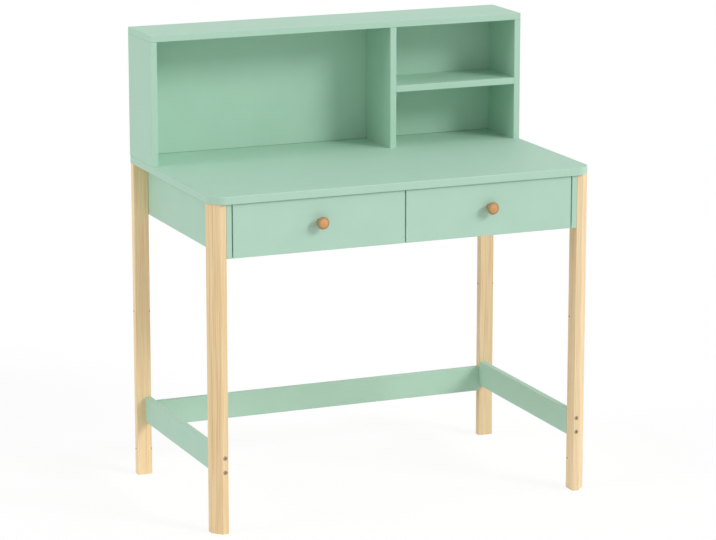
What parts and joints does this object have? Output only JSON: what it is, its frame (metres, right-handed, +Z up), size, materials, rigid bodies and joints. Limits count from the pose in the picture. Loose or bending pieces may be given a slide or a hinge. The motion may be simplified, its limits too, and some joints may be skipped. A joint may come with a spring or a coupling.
{
  "type": "student desk with hutch",
  "caption": "Painted writing desk on pine legs, with a low open hutch at the back, side-by-side drawers with round knobs, and a stretcher frame near the floor.",
  "frame": {"origin": "on the floor, under the middle of the whole desk with its knobs", "axes": "+Z up, +Y towards the back of the desk, +X to the right of someone who sits at it"},
  "size_m": [0.9, 0.546, 1.037],
  "materials": {
    "mint_paint": "satin paint on MDF board",
    "leg_pine": "clear matt lacquer on pine",
    "drawer_pine": "planed pine, clear lacquer",
    "drawer_hardboard": "hardboard with a pale face",
    "knob_wood": "turned wood, oiled",
    "dowel_beech": "plain beech",
    "zinc_steel": "zinc plated steel",
    "rail_steel": "pale epoxy powder coat on pressed steel",
    "roller_nylon": "moulded nylon"
  },
  "bodies": {
    "frame": {"cabinet_rail_screws": "zinc_steel", "cam_bolts": "zinc_steel", "cam_locks": "zinc_steel", "desktop": "mint_paint", "dowels": "dowel_beech", "drawer_left_inner_cabinet_rail": "rail_steel", "drawer_left_outer_cabinet_rail": "rail_steel", "drawer_partition": "mint_paint", "drawer_right_inner_cabinet_rail": "rail_steel", "drawer_right_outer_cabinet_rail": "rail_steel", "hutch_back": "mint_paint", "hutch_divider": "mint_paint", "hutch_shelf": "mint_paint", "hutch_side_left": "mint_paint", "hutch_side_right": "mint_paint", "hutch_top": "mint_paint", "leg_front_left": "leg_pine", "leg_front_right": "leg_pine", "leg_rear_left": "leg_pine", "leg_rear_right": "leg_pine", "leg_screws": "zinc_steel", "long_connecting_screws": "zinc_steel", "rear_apron": "mint_paint", "short_connecting_screws": "zinc_steel", "side_apron_left": "mint_paint", "side_apron_right": "mint_paint", "stretcher_left": "mint_paint", "stretcher_rear": "mint_paint", "stretcher_right": "mint_paint"},
    "drawer_left": {"drawer_left_back": "drawer_pine", "drawer_left_back_screws": "zinc_steel", "drawer_left_bottom": "drawer_hardboard", "drawer_left_front": "mint_paint", "drawer_left_inner_drawer_rail": "rail_steel", "drawer_left_inner_side": "drawer_pine", "drawer_left_knob": "knob_wood", "drawer_left_knob_screw": "zinc_steel", "drawer_left_outer_drawer_rail": "rail_steel", "drawer_left_outer_side": "drawer_pine", "drawer_left_rail_screws": "zinc_steel"},
    "drawer_right": {"drawer_right_back": "drawer_pine", "drawer_right_back_screws": "zinc_steel", "drawer_right_bottom": "drawer_hardboard", "drawer_right_front": "mint_paint", "drawer_right_inner_drawer_rail": "rail_steel", "drawer_right_inner_side": "drawer_pine", "drawer_right_knob": "knob_wood", "drawer_right_knob_screw": "zinc_steel", "drawer_right_outer_drawer_rail": "rail_steel", "drawer_right_outer_side": "drawer_pine", "drawer_right_rail_screws": "zinc_steel"},
    "drawer_left_inner_cabinet_roller": {"drawer_left_inner_cabinet_roller": "roller_nylon"},
    "drawer_left_inner_drawer_roller": {"drawer_left_inner_drawer_roller": "roller_nylon"},
    "drawer_left_outer_cabinet_roller": {"drawer_left_outer_cabinet_roller": "roller_nylon"},
    "drawer_left_outer_drawer_roller": {"drawer_left_outer_drawer_roller": "roller_nylon"},
    "drawer_right_inner_cabinet_roller": {"drawer_right_inner_cabinet_roller": "roller_nylon"},
    "drawer_right_inner_drawer_roller": {"drawer_right_inner_drawer_roller": "roller_nylon"},
    "drawer_right_outer_cabinet_roller": {"drawer_right_outer_cabinet_roller": "roller_nylon"},
    "drawer_right_outer_drawer_roller": {"drawer_right_outer_drawer_roller": "roller_nylon"}
  },
  "joints": [
    {"name": "drawer_left_slide", "type": "slide", "parent": "frame", "child": "drawer_left", "axis": [0, -1, 0], "range_m": [0, 0.33]},
    {"name": "drawer_right_slide", "type": "slide", "parent": "frame", "child": "drawer_right", "axis": [0, -1, 0], "range_m": [0, 0.33]},
    {"name": "drawer_left_inner_cabinet_roller_spin", "type": "hinge", "parent": "frame", "child": "drawer_left_inner_cabinet_roller", "pos_m": [-0.0107, -0.221, 0.6301], "axis": [1, 0, 0], "continuous": true},
    {"name": "drawer_left_inner_drawer_roller_spin", "type": "hinge", "parent": "drawer_left", "child": "drawer_left_inner_drawer_roller", "pos_m": [-0.0122, 0.203, 0.6255], "axis": [1, 0, 0], "continuous": true},
    {"name": "drawer_left_outer_cabinet_roller_spin", "type": "hinge", "parent": "frame", "child": "drawer_left_outer_cabinet_roller", "pos_m": [-0.3973, -0.221, 0.6301], "axis": [1, 0, 0], "continuous": true},
    {"name": "drawer_left_outer_drawer_roller_spin", "type": "hinge", "parent": "drawer_left", "child": "drawer_left_outer_drawer_roller", "pos_m": [-0.3958, 0.203, 0.6255], "axis": [1, 0, 0], "continuous": true},
    {"name": "drawer_right_inner_cabinet_roller_spin", "type": "hinge", "parent": "frame", "child": "drawer_right_inner_cabinet_roller", "pos_m": [0.0107, -0.221, 0.6301], "axis": [1, 0, 0], "continuous": true},
    {"name": "drawer_right_inner_drawer_roller_spin", "type": "hinge", "parent": "drawer_right", "child": "drawer_right_inner_drawer_roller", "pos_m": [0.0122, 0.203, 0.6255], "axis": [1, 0, 0], "continuous": true},
    {"name": "drawer_right_outer_cabinet_roller_spin", "type": "hinge", "parent": "frame", "child": "drawer_right_outer_cabinet_roller", "pos_m": [0.3973, -0.221, 0.6301], "axis": [1, 0, 0], "continuous": true},
    {"name": "drawer_right_outer_drawer_roller_spin", "type": "hinge", "parent": "drawer_right", "child": "drawer_right_outer_drawer_roller", "pos_m": [0.3958, 0.203, 0.6255], "axis": [1, 0, 0], "continuous": true}
  ],
  "couplings": [
    {"joint": "drawer_left_inner_cabinet_roller_spin", "follows": "drawer_left_slide", "rad_per_m": 111.11},
    {"joint": "drawer_left_inner_drawer_roller_spin", "follows": "drawer_left_slide", "rad_per_m": 111.11},
    {"joint": "drawer_left_outer_cabinet_roller_spin", "follows": "drawer_left_slide", "rad_per_m": 111.11},
    {"joint": "drawer_left_outer_drawer_roller_spin", "follows": "drawer_left_slide", "rad_per_m": 111.11},
    {"joint": "drawer_right_inner_cabinet_roller_spin", "follows": "drawer_right_slide", "rad_per_m": 111.11},
    {"joint": "drawer_right_inner_drawer_roller_spin", "follows": "drawer_right_slide", "rad_per_m": 111.11},
    {"joint": "drawer_right_outer_cabinet_roller_spin", "follows": "drawer_right_slide", "rad_per_m": 111.11},
    {"joint": "drawer_right_outer_drawer_roller_spin", "follows": "drawer_right_slide", "rad_per_m": 111.11}
  ]
}
